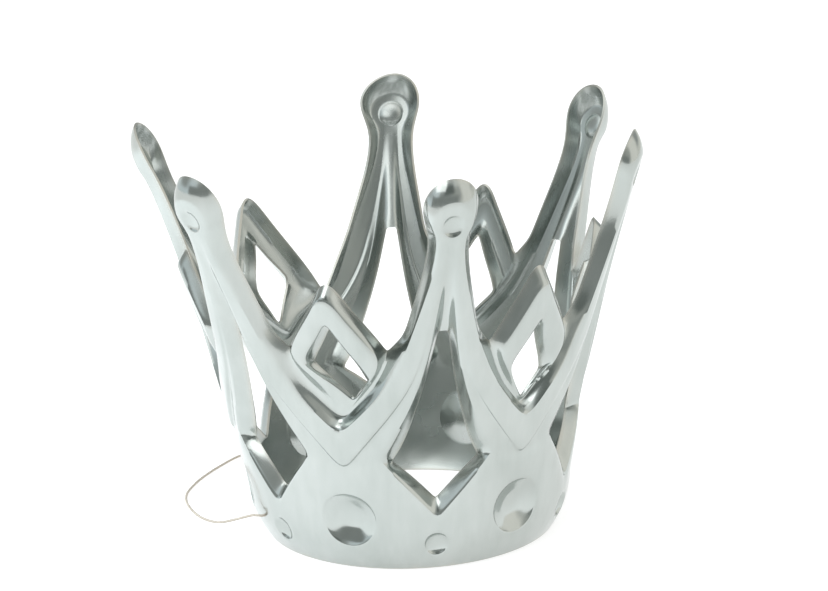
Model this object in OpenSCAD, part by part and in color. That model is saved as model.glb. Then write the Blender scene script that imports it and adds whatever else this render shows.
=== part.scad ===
// Party crown: one thin drawn plastic shell with six ball-tipped spikes, and a
// chin elastic knotted through two punched holes low in its band.
// The crown stands on its rim. The front spike faces -Y and +Z is up.

/* [Band] */
// Radius of the trimmed edge line at the rim, mm
base_r = 55; // [45:1:75]
// Outward slope of the wall at the rim, mm per mm of height
flare = 0.155; // [0.1:0.005:0.25]
// Extra outward curl of the wall at 100 mm of height, mm
curl = 7.5; // [0:0.5:12]
// Height that the raised faces stand out from the trimmed edges, mm
relief = 6; // [4:0.25:8]
// Thickness of the plastic, mm
wall_t = 0.9; // [0.6:0.1:1.4]

/* [Ornament] */
// Radius of the large round dishes pressed into the band, mm
dish_r = 11.2; // [8:0.2:12]
// Depth of the large dishes, mm
dish_d = 3.8; // [2:0.2:4.8]
// Radius of the small dimples near the rim, mm
dimple_r = 5.3; // [3:0.1:5.4]
// Depth of the small dimples, mm
dimple_d = 1.9; // [1:0.1:2.4]
// Depth of the groove that edges the raised V bands, mm
groove_d = 0.8; // [0.3:0.1:1.2]

/* [Spike ends] */
// Radius of the round end of a spike at its trimmed edge, mm
ball_r = 11.2; // [9:0.2:12]
// Radius of the flat face of the round end, mm
ball_face_r = 7.6; // [6:0.1:8.4]
// Radius of the dimple pressed into that face, mm
eye_r = 4.4; // [3:0.1:4.8]
// Depth of that dimple, mm
eye_d = 1.6; // [1:0.1:2.4]

/* [Elastic] */
// Diameter of the chin elastic, mm
elastic_d = 1; // [0.8:0.1:1.4]
// Diameter of the punched holes that the elastic passes through, mm
hole_d = 1.6; // [1.5:0.1:2.4]
// Diameter of the knot behind each hole, mm
knot_d = 3.4; // [3:0.1:4]

/* [Hidden] */

spikes = 6;
sector = 360 / spikes;
half = sector / 2;
lean_ref_z = 150;
lean_power = 1.3;
deg_per_rad = 180 / PI;

// How the thin spikes and the diamonds between them have relaxed, as a lean
// at lean_ref_z: azimuth from the front spike, mm outwards, mm sideways
lean = [
    [-150, 6.5, 13.5],
    [-120, 4.5, 15.5],
    [-90, 0.5, 7],
    [-60, 5.5, 9.5],
    [-30, -4.5, 2.5],
    [0, -5.5, 5.5],
    [30, -9.5, 4.5],
    [60, -8, 14],
    [90, -10.5, 0],
    [120, 5.5, 2],
    [150, -4, -7.5],
    [180, 5, -13.5]];

// How each diamond's hole was punched askew, and how far its notches were cut,
// as pairs of degrees and mm. A row for each diamond, 30 degrees and on: the
// hole's foot, left corner, right corner and tip, then the left and right notch
askew = [
    [[0.8, -1.5], [1.1, -4.8], [0, -9], [1.9, -5.4], [0, 0], [0, 0]],
    [[-1, 1], [-0.5, 1], [-1, -1.5], [-0.6, 0.5], [0, -1], [0, 0]],
    [[0.5, -1], [-0.6, -8], [0.3, -2], [0, -2], [0, 0], [0, -1]],
    [[3.5, 1], [3.3, 0.4], [0.4, 0], [2.7, 0.4], [2, -15], [0, 0]],
    [[1, -1], [0.8, -2], [1, 1], [0.5, -1], [0, 0], [0, -1]],
    [[4.5, 5], [0.1, 1.8], [1.2, -4.5], [-0.4, 1.1], [0, 0], [0, 0]]];

// One leg of a spike, from the side of the pierced kite up to its top.
// Pairs of azimuth and height: kite's cut edge, kite's brow, groove,
// outer edge of the raised band, foot of the band's outer wall
leg = [
    [15.0, 45.0, 18.2, 47.0, 30.0, 41.0, 30.0, 57.7, 30.0, 61.0],
    [12.7, 49.0, 16.0, 51.5, 25.2, 48.2, 25.4, 62.8, 26.3, 66.0],
    [10.6, 54.0, 13.7, 56.5, 20.4, 55.4, 21.4, 68.2, 23.0, 71.0],
    [8.7, 60.0, 11.3, 62.0, 16.0, 62.4, 17.4, 73.7, 19.9, 77.0],
    [6.9, 67.0, 9.0, 68.5, 12.0, 69.7, 14.2, 80.0, 17.2, 83.5],
    [4.9, 75.5, 6.7, 76.5, 8.5, 77.5, 11.7, 86.8, 15.2, 90.5],
    [3.1, 86.0, 4.6, 86.5, 5.8, 87.5, 10.0, 92.8, 12.4, 94.4],
    [1.4, 98.0, 3.1, 98.0, 4.4, 98.0, 8.8, 98.0, 10.4, 98.0]];
leg_last = len(leg) - 1;
notch_row = 5;

// Lower side of the kite: azimuth and height of its cut edge and its brow
sill = [
    [0, 27.5, 0, 22.4],
    [3.75, 31.9, 4.5, 28.5],
    [7.5, 36.2, 9.1, 34.7],
    [11.25, 40.6, 13.6, 40.9]];

// Upper spike: height, half width and relief of the valley floor, azimuth and
// relief of the valley's brow, azimuth and relief of the groove, azimuth of
// the face's outer edge, azimuth of the cut edge
stem = [
    [98, 1.4, 0.6, 3.1, 5.6, 4.4, 5.3, 8.8, 10.4],
    [106, 1.0, 2.4, 2.4, 5.6, 3.4, 5.4, 7.3, 9.0],
    [114, 0.8, 4.3, 1.8, 5.8, 2.5, 5.7, 5.7, 7.6],
    [122, 0.6, 5.9, 1.3, 6.1, 1.9, 6.2, 4.2, 6.2],
    [134.8, 0.5, 6.4, 1.0, 6.4, 1.5, 6.4, 2.6, 4.7]];
stem_last = len(stem) - 1;

// Round end: heights of its three centres, and the rays, in degrees from up
ball_z = 147;
ball_face_z = 141.8;
eye_z = 141.3;
rim_rays = [0, 36, 72, 108];
eye_rays = [0, 36, 72, 108, 125, 137, 148, 158, 169, 180];

// Diamond frame, from the foot of the frame up to its tip. Azimuth and height
// of its outer edge, then of its hole's edge, the places of the brow and the
// lip between them as fractions, and the relief of both
diamond = [
    [30.0, 61.0, 30.0, 66.0, 0.46, 0.68, 1.6],
    [26.3, 66.0, 28.1, 70.2, 0.46, 0.68, 1.9],
    [23.0, 71.0, 26.2, 74.2, 0.46, 0.68, 2.6],
    [19.9, 77.0, 24.4, 77.8, 0.45, 0.70, 3.8],
    [17.2, 83.5, 23.0, 81.2, 0.38, 0.72, 5.0],
    [15.2, 90.5, 22.8, 83.8, 0.30, 0.76, 5.6],
    [18.2, 96.8, 24.0, 86.8, 0.25, 0.78, 5.6],
    [22.2, 104.3, 26.0, 90.4, 0.25, 0.80, 5.6],
    [25.6, 111.0, 28.0, 94.6, 0.26, 0.82, 5.6],
    [27.6, 115.2, 29.2, 97.4, 0.27, 0.84, 5.6],
    [30.0, 117.2, 30.0, 98.6, 0.28, 0.85, 5.6]];
diamond_last = len(diamond) - 1;
// Share of a notch's shift that each row takes, and the shares of the brow,
// the lip and the hole's edge in the shifts of the hole and of the notch
notch_shares = [0, 0, 0.15, 0.4, 0.7, 1, 0.72, 0.45, 0.2, 0.05, 0];
leg_shares = [0, 0, 0.15, 0.4, 0.7, 1, 0.45, 0];
hole_follow = [0.5, 0.9, 1];
notch_follow = [0.7, 0.4, 0];
edge_follow = 0.5;
valley_h = 0.5;
brow_h = relief - 0.4;
band_crown_h = relief + 0.4;
band_edge_h = relief + 0.2;
inner_share = 0.12;

// Band below the kite and the V. A ring's pair is its share of the dish's
// radius and of its depth
dish_z = 21.5;
dimple_z = 11.3;
rim_in = 4;
rim_round_z = 14;
rim_marks = [7, 14, 22, 30];
low_marks = [[6.1, 5.6], [3.2, 3.0], [0, 3.0]];
fan_steps = [0.42, 0.82];
border_lift = 0.4;
dish_rings = [[0.82, 0.36], [0.48, 0.78]];
dimple_ring = [0.6, 0.72];

// Holes and elastic
hole_az = [-72, 108];
hole_z = 13;
knot_len = 2.6;
knot_gap = 0.4;
cord_sides = 8;
cord_step = 4.4;

// Route of the elastic between the holes: out of the left one, down to the
// surface that the crown stands on, round behind and up into the right one
route = [
    [-61, -19.8, 13], [-64.2, -16.6, 12.3], [-67, -12, 10.2], [-70, -6.5, 7.6],
    [-73.5, -0.5, 4.8], [-76.5, 5, 2.8], [-79.5, 12, 1.3], [-82.5, 19, 0.7], [-85, 28, 0.6],
    [-86.2, 38, 0.6], [-85.5, 47, 0.6], [-82.5, 56, 0.6], [-77, 67, 0.6], [-69, 79, 0.6],
    [-59, 91, 0.6], [-44, 102, 0.6], [-25, 109, 0.6], [-4, 111, 0.6], [17, 108, 0.6],
    [36, 99, 0.6], [52, 84, 0.6], [62, 67, 0.6], [67, 51, 1], [68.5, 40, 2.8],
    [68.5, 32, 6.2], [66.8, 25, 10.6], [64.3, 21.4, 12.6], [61, 19.8, 13]];

function wall_r(z) = base_r + flare * z + curl * pow(z / 100, 2);
function to_az(mm, z) = mm / (wall_r(z) + relief) * deg_per_rad;
function mix(a, b, f) = a + (b - a) * f;
function lean_row(i) = lean[i % len(lean)];
// Smooth blend of a lean column between two neighbouring rows
function lean_at(az, col) =
    let (t = (az - lean[0][0]) / half % len(lean), i = floor(t), w = 0.5 - 0.5 * cos(180 * (t - i)))
    mix(lean_row(i)[col], lean_row(i + 1)[col], w);
function lean_share(z) = pow(max(z, 0) / lean_ref_z, lean_power);

// From azimuth, height and relief to a point before and after leaning
function plain_point(p) =
    let (r = wall_r(p[1]) + p[2]) [r * sin(p[0]), -r * cos(p[0]), p[1]];
function placed(az, z, h) =
    let (
        s = lean_share(z),
        out = lean_at(az, 1) * s,
        side = lean_at(az, 2) * s,
        r = wall_r(z) + h + out)
    [r * sin(az) + side * cos(az), -r * cos(az) + side * sin(az), z];

function band_h(z) = relief - rim_in * pow(1 - min(z, rim_round_z) / rim_round_z, 2);
function polar(az, z, r, ray) = [az + to_az(r * sin(ray), z), z + r * cos(ray)];
function with_h(p, h) = [p[0], p[1], h];

// Point lists of half a sector, each point as azimuth, height and relief
leg_points = [for (r = leg) each [
    [r[0], r[1], r == leg[leg_last] ? stem[0][2] : 0],
    [r[2], r[3], brow_h],
    [r[4], r[5], relief - groove_d],
    [mix(r[4], r[6], inner_share), mix(r[5], r[7], inner_share), band_crown_h],
    [r[6], r[7], band_edge_h],
    [r[8], r[9], r[1] < leg[notch_row][1] ? valley_h : 0]]];
sill_points = [for (r = sill) each [[r[0], r[1], 0], [r[2], r[3], brow_h]]];
stem_points = [for (i = [1:stem_last]) let (r = stem[i]) each [
    [0, r[0], r[2]],
    [r[1], r[0], r[2]],
    [r[3], r[0], r[4]],
    [r[5], r[0], r[6]],
    [mix(r[5], r[7], inner_share), r[0], band_crown_h],
    [r[7], r[0], band_edge_h],
    [r[8], r[0], 0]]];
stem_axis = [[0, stem[0][0], stem[0][2]]];
ball_points = [
    for (ray = rim_rays) with_h(polar(0, ball_z, ball_r, ray), 0),
    for (ray = rim_rays) with_h(polar(0, ball_face_z, ball_face_r, ray), band_edge_h)];
eye_points = [
    for (ray = eye_rays) with_h(polar(0, eye_z, eye_r, ray), band_crown_h),
    for (ray = eye_rays) with_h(polar(0, eye_z, eye_r * 0.62, ray), band_crown_h - eye_d * 0.75),
    [0, eye_z, band_crown_h - eye_d]];
diamond_points = [for (r = diamond) each [
    [mix(r[0], r[2], r[4]), mix(r[1], r[3], r[4]), r[6]],
    [mix(r[0], r[2], r[5]), mix(r[1], r[3], r[5]), r[6]],
    [r[2], r[3], 0]]];
tip_points = [for (i = [notch_row + 1:diamond_last]) [diamond[i][0], diamond[i][1], 0]];
dimple_ring_points = [for (ray = [0:45:180])
    let (q = polar(0, dimple_z, dimple_r, ray)) with_h(q, band_h(q[1]))];
dimple_inner_points = [for (ray = [0:45:180])
    let (q = polar(0, dimple_z, dimple_r * dimple_ring[0], ray))
    with_h(q, band_h(q[1]) - dimple_d * dimple_ring[1])];
dimple_floor = [[0, dimple_z, band_h(dimple_z) - dimple_d]];
low_points = [
    for (q = low_marks) with_h(q, band_h(q[1])),
    [3.5, 0, band_h(0)],
    [0, 0, band_h(0)]];
rim_points = [for (a = rim_marks) [a, 0, band_h(0)]];

// Where each list starts in the half sector's list of points
leg_at = 0;
sill_at = leg_at + len(leg_points);
stem_at = sill_at + len(sill_points);
axis_at = stem_at + len(stem_points);
ball_at = axis_at + 1;
eye_at = ball_at + len(ball_points);
diamond_at = eye_at + len(eye_points);
tip_at = diamond_at + len(diamond_points);
dimple_at = tip_at + len(tip_points);
low_at = dimple_at + len(dimple_ring_points) + len(dimple_inner_points) + 1;
rim_at = low_at + len(low_points);
fan_at = rim_at + len(rim_points);

function leg_i(row, col) = leg_at + 6 * row + col;
function stem_i(row, col) =
    row > 0 ? stem_at + 7 * (row - 1) + col : (col == 0 ? axis_at : leg_i(leg_last, col - 1));

// Outer end of each rib of the fan round the large dish
fan_ends = concat(
    [leg_i(0, 2), leg_i(0, 1)],
    [for (i = [3:-1:0]) sill_at + 2 * i + 1],
    [dimple_at, dimple_at + 1, dimple_at + 2, low_at],
    [for (i = [0:len(rim_marks) - 1]) rim_at + i]);
fan_last = len(fan_ends) - 1;
first_points = concat(leg_points, sill_points, stem_points, stem_axis, ball_points, eye_points,
    diamond_points, tip_points, dimple_ring_points, dimple_inner_points, dimple_floor,
    low_points, rim_points);

// The fan's ribs leave the dish between their own direction and an even spread
function rib_ray(i) =
    let (
        q = first_points[fan_ends[i]],
        mm = (half - q[0]) / to_az(1, dish_z),
        own = atan2(mm, q[1] - dish_z),
        even = 180 * i / fan_last)
    i == 0 ? 0 : (i == fan_last ? 180 : mix(own, even, 0.4));
function dish_point(i, share, lift) =
    let (q = polar(half, dish_z, -dish_r * share, rib_ray(i)), z = 2 * dish_z - q[1])
    [q[0], z, band_h(z) + lift];
function fan_point(i, f) =
    let (
        a = dish_point(i, 1, 0),
        b = first_points[fan_ends[i]],
        z = mix(a[1], b[1], f),
        lift = f == fan_steps[1] && i > 0 && i < 7 ? border_lift : 0)
    [mix(a[0], b[0], f), z, band_h(z) + lift];
fan_points = concat(
    [for (i = [0:fan_last]) dish_point(i, 1, -0.2)],
    [for (f = fan_steps, i = [0:fan_last]) fan_point(i, f)],
    [for (b = dish_rings, i = [0:fan_last]) dish_point(i, b[0], -dish_d * b[1])],
    [[half, dish_z, relief - dish_d]]);
points = concat(first_points, fan_points);
n_points = len(points);

// Triangles between rows of points, each turned to face outwards
function turned(t) =
    let (p = points[t[0]], q = points[t[1]], r = points[t[2]],
        area = (q[0] - p[0]) * (r[1] - p[1]) - (q[1] - p[1]) * (r[0] - p[0]))
    area > 0 ? t : [t[0], t[2], t[1]];
function strip(a, b) = [for (i = [0:len(a) - 2]) each [
    turned([a[i], a[i + 1], b[i + 1]]),
    turned([a[i], b[i + 1], b[i]])]];
function to_centre(ring, c) = [for (i = [0:len(ring) - 2]) turned([ring[i], ring[i + 1], c])];
function run(start, count, step = 1) = [for (i = [0:count - 1]) start + i * step];

leg_columns = [for (c = [0:5]) [for (i = [0:leg_last]) leg_i(i, c)]];
sill_cut = concat(run(sill_at, 4, 2), [leg_i(0, 0)]);
sill_brow = concat(run(sill_at + 1, 4, 2), [leg_i(0, 1)]);
ball_cut = concat(run(ball_at, 4), [stem_i(stem_last, 6)]);
ball_brow = concat(run(ball_at + 4, 4), [stem_i(stem_last, 5)]);
eye_outer = concat(ball_brow, [for (c = [4:-1:0]) stem_i(stem_last, c)]);
diamond_outer = concat(
    [for (i = [0:notch_row]) leg_i(i, 5)],
    run(tip_at, diamond_last - notch_row));
diamond_columns = [for (c = [0:2]) run(diamond_at + c, diamond_last + 1, 3)];
fan_count = fan_last + 1;
fan_rows = [for (k = [0:2]) run(fan_at + k * fan_count, fan_count)];
dish_rows = [for (k = [3:4]) run(fan_at + k * fan_count, fan_count)];
dimple_ring_row = run(dimple_at, 5);
dimple_inner_row = run(dimple_at + 5, 5);

surface = concat(
    [for (c = [0:4]) each strip(leg_columns[c], leg_columns[c + 1])],
    strip(sill_cut, sill_brow),
    [for (r = [0:stem_last - 1]) each strip(
        [for (c = [0:6]) stem_i(r, c)],
        [for (c = [0:6]) stem_i(r + 1, c)])],
    strip(ball_cut, ball_brow),
    strip(eye_outer, run(eye_at, len(eye_rays))),
    strip(run(eye_at, len(eye_rays)), run(eye_at + len(eye_rays), len(eye_rays))),
    to_centre(run(eye_at + len(eye_rays), len(eye_rays)), eye_at + 2 * len(eye_rays)),
    strip(diamond_outer, diamond_columns[0]),
    strip(diamond_columns[0], diamond_columns[1]),
    strip(diamond_columns[1], diamond_columns[2]),
    [for (k = [0:1]) each strip(fan_rows[k], fan_rows[k + 1])],
    strip(fan_rows[2], fan_ends),
    strip(fan_rows[0], dish_rows[0]),
    strip(dish_rows[0], dish_rows[1]),
    to_centre(dish_rows[1], fan_at + 5 * fan_count),
    strip(dimple_ring_row, dimple_inner_row),
    to_centre(dimple_inner_row, dimple_at + 10),
    strip([dimple_at + 2, dimple_at + 3, dimple_at + 4], [low_at, low_at + 1, low_at + 2]),
    strip([low_at, low_at + 1, low_at + 2], [rim_at, low_at + 3, low_at + 4]));

// Edges where the plastic is cut, with the surface on the left of each
cut_edges = [
    concat([low_at + 4, low_at + 3], run(rim_at, len(rim_marks))),
    diamond_columns[2],
    concat(
        [for (i = [diamond_last - notch_row - 1:-1:0]) tip_at + i],
        [for (i = [notch_row:leg_last]) leg_i(i, 5)],
        [for (r = [1:stem_last]) stem_i(r, 6)],
        [for (i = [3:-1:0]) ball_at + i]),
    concat(
        [axis_at],
        [for (i = [leg_last:-1:0]) leg_i(i, 0)],
        [for (i = [3:-1:0]) sill_at + 2 * i])];

// Direction square to the surface at each point, drawn a little towards the
// axis so that narrow channels stay open behind the faces
solid_points = [for (p = points) plain_point(p)];
face_normals = [for (t = surface) cross(
    solid_points[t[1]] - solid_points[t[0]],
    solid_points[t[2]] - solid_points[t[0]])];
corners_of = [for (i = [0:n_points - 1]) [for (f = [0:len(surface) - 1])
    if (surface[f][0] == i || surface[f][1] == i || surface[f][2] == i) face_normals[f]]];
side_share = 0.6;
function total(v, i = 0) = i == len(v) - 1 ? v[i] : v[i] + total(v, i + 1);
function on_axis(p) = p[0] == 0 || p[0] == half;
function inward(i) =
    let (
        p = points[i],
        n = total(corners_of[i]),
        radial = [sin(p[0]), -cos(p[0]), 0],
        across = [cos(p[0]), sin(p[0]), 0],
        h = n * radial,
        a = on_axis(p) ? 0 : (n * across) * side_share,
        z = p[1] == 0 ? 0 : n[2] * side_share,
        size = norm([h, a, z]))
    [a, z, h] / size;
// The same points on the hidden side of the plastic
back_points = [for (i = [0:n_points - 1]) let (
    p = points[i],
    n = inward(i),
    r = wall_r(p[1]) + p[2],
    r_new = r - wall_t * n[2],
    z = p[1] - wall_t * n[1])
    [p[0] - wall_t * n[0] / r * deg_per_rad, z, r_new - wall_r(z)]];

half_points = concat(points, back_points);
half_faces = concat(
    surface,
    [for (t = surface) [t[2] + n_points, t[1] + n_points, t[0] + n_points]],
    [for (e = cut_edges, i = [0:len(e) - 2]) each [
        [e[i + 1], e[i], e[i] + n_points],
        [e[i + 1], e[i] + n_points, e[i + 1] + n_points]]]);
half_count = 2 * n_points;

// How much each point takes of a diamond's shifts: foot, side, tip and notch
function still(count) = [for (i = [1:count]) [0, 0, 0, 0]];
function hole_shares(i) = [
    max(0, 1 - i / notch_row), 1 - abs(i - notch_row) / notch_row, max(0, i / notch_row - 1)];
half_shares = concat(
    [for (i = [0:leg_last]) each concat(
        still(4), [for (f = [edge_follow, 1]) [0, 0, 0, leg_shares[i] * f]])],
    still(diamond_at - sill_at),
    [for (i = [0:diamond_last], c = [0:2])
        concat(hole_shares(i) * hole_follow[c], [notch_shares[i] * notch_follow[c]])],
    [for (i = [notch_row + 1:diamond_last]) [0, 0, 0, notch_shares[i]]],
    still(n_points - dimple_at));
function shift(c, share) =
    let (
        right = c[1] > 0 ? 0 : 1,
        d = askew[(c[0] + spikes - right) % spikes])
    share[0] * d[0] + share[1] * d[1 + right] + share[2] * d[3] + share[3] * d[4 + right];

// The half sector, turned and mirrored round the crown
copies = [for (s = [0:spikes - 1], m = [1, -1]) [s, m]];
sheet_points = [for (c = copies, i = [0:half_count - 1])
    let (p = half_points[i], d = shift(c, half_shares[i % n_points]))
    placed((c[0] * sector + c[1] * p[0] + d[0] + 360) % 360, p[1] + d[1], p[2])];

// The crown stands with the middle of its plan on the origin
plan = [for (axis = [0:1]) [for (p = sheet_points) p[axis]]];
plan_middle = [for (v = plan) (min(v) + max(v)) / 2];
module on_origin() {
    translate([-plan_middle[0], -plan_middle[1], 0]) children();
}

module crown_sheet() {
    all_faces = [for (k = [0:len(copies) - 1], t = half_faces)
        copies[k][1] > 0
            ? [t[2] + k * half_count, t[1] + k * half_count, t[0] + k * half_count]
            : [t[0] + k * half_count, t[1] + k * half_count, t[2] + k * half_count]];
    polyhedron(sheet_points, all_faces);
}

// Places a child that lies along +X from the axis at an elastic hole
module at_hole(az) {
    rotate([0, 0, az - 90]) translate([0, 0, hole_z]) children();
}

hole_outer_r = wall_r(hole_z) + band_h(hole_z);
knot_face_r = hole_outer_r - wall_t - knot_gap;

module crown_shell() {
    color("silver") on_origin() difference() {
        crown_sheet();
        for (az = hole_az)
            at_hole(az) translate([hole_outer_r - 6, 0, 0]) rotate([0, 90, 0])
                cylinder(h = 12, d = hole_d, $fn = 24);
    }
}

module knot(az) {
    color("wheat") on_origin() at_hole(az) translate([knot_face_r, 0, 0]) rotate([0, -90, 0])
        rotate_extrude($fn = 24)
            polygon([[0, 0], [elastic_d * 0.7, 0], [knot_d / 2, knot_len * 0.3],
                [knot_d / 2, knot_len * 0.7], [elastic_d * 0.7, knot_len], [0, knot_len]]);
}

module knot_left() {
    knot(hole_az[0]);
}

module knot_right() {
    knot(hole_az[1]);
}

// Catmull-Rom point on a list of route points
function curve_point(p, i, t) =
    let (
        a = p[max(i - 1, 0)],
        b = p[i],
        c = p[i + 1],
        d = p[min(i + 2, len(p) - 1)])
    0.5 * (2 * b + (c - a) * t + (2 * a - 5 * b + 4 * c - d) * t * t
        + (3 * b - a - 3 * c + d) * t * t * t);
function unit(v) = v / norm(v);

module elastic_cord() {
    ends = [for (az = hole_az) [knot_face_r * sin(az), -knot_face_r * cos(az), hole_z]];
    line = concat([ends[0]], route, [ends[1]]);
    centres = [
        for (i = [0:len(line) - 2])
            let (steps = max(1, round(norm(line[i + 1] - line[i]) / cord_step)))
            for (k = [0:steps - 1]) curve_point(line, i, k / steps),
        ends[1]];
    last = len(centres) - 1;
    rings = [for (i = [0:last]) let (
        along = unit(centres[min(i + 1, last)] - centres[max(i - 1, 0)]),
        side = unit(cross(along, [0, 0, 1])),
        up = cross(side, along))
        [for (k = [0:cord_sides - 1]) let (a = 360 * (k + 0.5) / cord_sides)
            centres[i] + elastic_d / 2 * (cos(a) * side + sin(a) * up)]];
    cord_points = [for (r = rings, p = r) p];
    cord_faces = concat(
        [[for (k = [cord_sides - 1:-1:0]) k]],
        [for (i = [0:last - 1], k = [0:cord_sides - 1]) let (n = (k + 1) % cord_sides)
            [i * cord_sides + k, i * cord_sides + n, (i + 1) * cord_sides + n, (i + 1) * cord_sides + k]],
        [[for (k = [0:cord_sides - 1]) last * cord_sides + k]]);
    color("wheat") on_origin() polyhedron(cord_points, cord_faces);
}

crown_shell();
elastic_cord();
knot_left();
knot_right();
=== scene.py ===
# %% [markdown]
# # A silver party crown
# The real crown is one thin sheet of plastic, drawn into a mould, pierced, and
# coated with a whisper of metal. Because the wall is thin and the mould is
# regular, the whole form can come from one sixty-degree slice of a flat
# pattern that is rolled up. We load the measured model first, because every
# piece that is made here has to sit exactly where that model says.

# %% Load the measured model
import math

import bmesh
import bpy
import numpy as np
from mathutils import Matrix, Vector


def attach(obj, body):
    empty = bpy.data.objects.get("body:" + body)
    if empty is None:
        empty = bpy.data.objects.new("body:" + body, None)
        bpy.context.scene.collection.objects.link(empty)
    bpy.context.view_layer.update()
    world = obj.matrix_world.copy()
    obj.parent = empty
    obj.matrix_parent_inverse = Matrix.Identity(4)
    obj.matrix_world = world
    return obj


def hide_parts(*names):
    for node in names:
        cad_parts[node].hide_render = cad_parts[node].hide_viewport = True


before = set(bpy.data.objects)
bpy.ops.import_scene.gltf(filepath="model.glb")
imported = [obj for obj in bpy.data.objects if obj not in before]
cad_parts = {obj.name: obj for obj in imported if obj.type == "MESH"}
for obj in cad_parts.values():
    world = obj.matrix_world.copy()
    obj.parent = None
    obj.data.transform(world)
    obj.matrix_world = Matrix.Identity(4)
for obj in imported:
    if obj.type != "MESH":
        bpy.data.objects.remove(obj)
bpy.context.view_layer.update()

# The crown's sizes are in mm, and MM turns them into metres
MM = 0.001
# Where the crown's own axis stands in the model's frame
axis_x, axis_y = 3.571, -5.223
print("nodes:", sorted(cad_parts))

# %% [markdown]
# ## The camera
# A product photograph is taken with a long lens from a little above. Its place
# was worked out from points on the crown, as a turn, a tilt, a small roll and a
# distance from a point on the crown's axis. The picture was cropped off centre,
# and the lens shift puts that back without turning the camera.

# %% Camera
photo_w, photo_h = 828, 591
sensor_mm = 36
focal_px = 2825
aim_px = (405.0, 335.6)
aim_height = 75
camera_distance = 1100
turn, tilt, roll = (math.radians(v) for v in (8.3, 16.4, -2.0))

away = Vector((math.sin(turn), math.cos(turn), 0))
across = Vector((math.cos(turn), -math.sin(turn), 0))
forward = away * math.cos(tilt) - Vector((0, 0, math.sin(tilt)))
upward = away * math.sin(tilt) + Vector((0, 0, math.cos(tilt)))
side_axis = across * math.cos(roll) + upward * math.sin(roll)
top_axis = upward * math.cos(roll) - across * math.sin(roll)

lens = bpy.data.cameras.new("camera")
lens.sensor_width = sensor_mm
lens.lens = focal_px / photo_w * sensor_mm
lens.shift_x = (photo_w / 2 - aim_px[0]) / photo_w
lens.shift_y = (aim_px[1] - photo_h / 2) / photo_w
lens.clip_start, lens.clip_end = 0.05, 20
camera = bpy.data.objects.new("camera", lens)
bpy.context.scene.collection.objects.link(camera)
pose = Matrix((side_axis, top_axis, -forward)).transposed().to_4x4()
aim = Vector((axis_x, axis_y, aim_height)) * MM
pose.translation = aim - forward * camera_distance * MM
camera.matrix_world = pose
bpy.context.scene.camera = camera
print("lens:", round(lens.lens, 1), "mm")

# %% [markdown]
# ## The wall
# Seen from above, the plain wall is a circle that widens with height, at first
# evenly and then faster. The band and the raised V shapes stand out from it by
# their relief. The elastic's holes and the whole pattern are placed on this
# wall, so it comes first.

# %% Size and slope of the wall
base_r, flare, curl = 55, 0.155, 7.5
relief = 6
wall_t = 0.9
rim_curl, rim_curl_z = 4, 14


def wall_r(z):
    """Radius of the plain wall at a height, in mm."""
    return base_r + flare * z + curl * (z / 100) ** 2


def to_az(mm, z):
    """Degrees of azimuth that an arc of the raised face covers."""
    return math.degrees(mm / (wall_r(z) + relief))


def band_h(z):
    """Relief of the band, which curls in towards the rim."""
    return relief - rim_curl * (1 - min(z, rim_curl_z) / rim_curl_z) ** 2


def mix(a, b, f):
    """The value a share f of the way from a to b."""
    return a + (b - a) * f


print("radius of the raised face at the rim and the tips:",
      [round(wall_r(z) + relief, 1) for z in (0, 150)], "mm")

# %% [markdown]
# ## The elastic
# A thin covered elastic leaves one hole in the band, droops to the table, lies
# round behind the crown and goes back in at the opposite hole. Its route is a
# short list of points with a smooth curve through them, the same points that
# the measured model uses. We sweep our own tube along it, because a tube made
# by hand can carry a UV map that runs along the thread.

# %% Route of the elastic
elastic_d = 1.0
hole_azimuths = (-72, 108)
hole_z = 13
knot_gap = 0.4
knot_face_r = round(wall_r(hole_z) + band_h(hole_z) - wall_t - knot_gap, 4)
cord_step = 1.2
route = [
    (-61, -19.8, 13), (-64.2, -16.6, 12.3), (-67, -12, 10.2), (-70, -6.5, 7.6),
    (-73.5, -0.5, 4.8), (-76.5, 5, 2.8), (-79.5, 12, 1.3), (-82.5, 19, 0.7), (-85, 28, 0.6),
    (-86.2, 38, 0.6), (-85.5, 47, 0.6), (-82.5, 56, 0.6), (-77, 67, 0.6), (-69, 79, 0.6),
    (-59, 91, 0.6), (-44, 102, 0.6), (-25, 109, 0.6), (-4, 111, 0.6), (17, 108, 0.6),
    (36, 99, 0.6), (52, 84, 0.6), (62, 67, 0.6), (67, 51, 1), (68.5, 40, 2.8),
    (68.5, 32, 6.2), (66.8, 25, 10.6), (64.3, 21.4, 12.6), (61, 19.8, 13)]


def out_of_axis(azimuth, radius, height):
    """A point of the crown in metres, from azimuth in degrees, radius and height in mm."""
    a = math.radians(azimuth)
    return np.array((axis_x + radius * math.sin(a), axis_y - radius * math.cos(a), height)) * MM


def smooth_line(points, step):
    """A Catmull-Rom curve through the points, as closely spaced points."""
    p = np.array(points, float)
    p = np.vstack([p[:1], p, p[-1:]])
    line = []
    for a, b, c, d in zip(p, p[1:], p[2:], p[3:]):
        count = max(1, round(float(np.linalg.norm(c - b)) / step))
        for t in np.arange(count) / count:
            line.append(0.5 * (2 * b + (c - a) * t + (2 * a - 5 * b + 4 * c - d) * t * t
                               + (3 * b - a - 3 * c + d) * t ** 3))
    return np.array(line + [p[-1]])


ends = [out_of_axis(a, knot_face_r, hole_z) for a in hole_azimuths]
middle = [np.array((x + axis_x, y + axis_y, z)) * MM for x, y, z in route]
cord_line = smooth_line([ends[0], *middle, ends[1]], cord_step * MM)


# %% Tube along a line
def link(name, mesh):
    """Puts a mesh in the scene as an object at the origin."""
    obj = bpy.data.objects.new(name, mesh)
    bpy.context.scene.collection.objects.link(obj)
    return obj


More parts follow.
